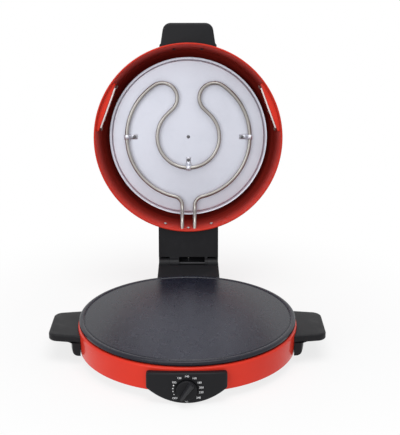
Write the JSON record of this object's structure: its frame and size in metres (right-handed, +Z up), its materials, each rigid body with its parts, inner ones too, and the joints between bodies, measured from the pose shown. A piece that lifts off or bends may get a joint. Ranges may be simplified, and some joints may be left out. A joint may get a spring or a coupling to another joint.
{
  "type": "electric roti maker",
  "caption": "Countertop electric roti maker: round base with a dark hot plate, front dial, side handles, and a hinged deep lid with a grill element and window slots.",
  "frame": {"origin": "centre of the bounding box at rest, lid open, on the surface that the feet stand on", "axes": "+Z up, -Y towards the control panel at the front, +X to the right of someone facing the panel"},
  "size_m": [0.5136, 0.6462, 0.5737],
  "materials": {
    "red_paint": "glossy red enamel",
    "black_plastic": "fine-grained black moulding",
    "nonstick": "cast, with a dark non-stick coating",
    "bare_aluminium": "satin sheet",
    "element_steel": "bright sheathed heating tube",
    "zinc_steel": "zinc-plated fixings",
    "window_glass": "clear heat-proof glass",
    "foot_rubber": "soft black rubber",
    "white_ceramic": "plain white insulator",
    "red_wire": "insulated wire",
    "pale_sleeve": "woven heat-proof sleeve"
  },
  "bodies": {
    "base": {"base_shell": "red_paint", "bottom_cover": "zinc_steel", "bracket_screw_1": "zinc_steel", "bracket_screw_2": "zinc_steel", "capillary_bulb": "zinc_steel", "centre_nut": "zinc_steel", "centre_stud": "zinc_steel", "control_panel": "black_plastic", "cooking_plate": "nonstick", "cord_inlet_bush": "black_plastic", "foot_front_left": "foot_rubber", "foot_front_right": "foot_rubber", "foot_rear_left": "foot_rubber", "foot_rear_right": "foot_rubber", "heat_shield": "bare_aluminium", "hinge_bracket": "black_plastic", "hinge_lead": "pale_sleeve", "hinge_pin": "zinc_steel", "hinge_pin_cap": "zinc_steel", "left_handle": "black_plastic", "left_handle_screw_1": "zinc_steel", "left_handle_screw_2": "zinc_steel", "live_wire": "red_wire", "lower_element": "element_steel", "neutral_wire": "red_wire", "panel_screw_1": "zinc_steel", "panel_screw_2": "zinc_steel", "right_handle": "black_plastic", "right_handle_screw_1": "zinc_steel", "right_handle_screw_2": "zinc_steel", "terminal_block": "white_ceramic", "thermostat_body": "white_ceramic"},
    "lid": {"arm_lead": "pale_sleeve", "arm_screw_1": "zinc_steel", "arm_screw_2": "zinc_steel", "element_clip_left": "zinc_steel", "element_clip_rear": "zinc_steel", "element_clip_right": "zinc_steel", "element_clip_screw_left": "zinc_steel", "element_clip_screw_rear": "zinc_steel", "element_clip_screw_right": "zinc_steel", "element_flange": "zinc_steel", "element_flange_screw": "zinc_steel", "left_window_pane": "window_glass", "left_window_rivet_front": "zinc_steel", "left_window_rivet_rear": "zinc_steel", "lid_arm": "black_plastic", "lid_handle": "black_plastic", "lid_handle_screw_1": "zinc_steel", "lid_handle_screw_2": "zinc_steel", "lid_shell": "red_paint", "reflector": "bare_aluminium", "reflector_post": "zinc_steel", "reflector_screw": "zinc_steel", "right_window_pane": "window_glass", "right_window_rivet_front": "zinc_steel", "right_window_rivet_rear": "zinc_steel", "upper_element": "element_steel"},
    "knob": {"control_knob": "black_plastic", "thermostat_shaft": "zinc_steel"}
  },
  "joints": [
    {"name": "lid_hinge", "type": "hinge", "parent": "base", "child": "lid", "pos_m": [0, 0.17458, 0.076], "axis": [1, 0, 0], "range_deg": [0, 99.2]},
    {"name": "knob_turn", "type": "hinge", "parent": "base", "child": "knob", "pos_m": [0, -0.30842, 0.028], "axis": [0, 1, 0], "range_deg": [0, 270]}
  ]
}
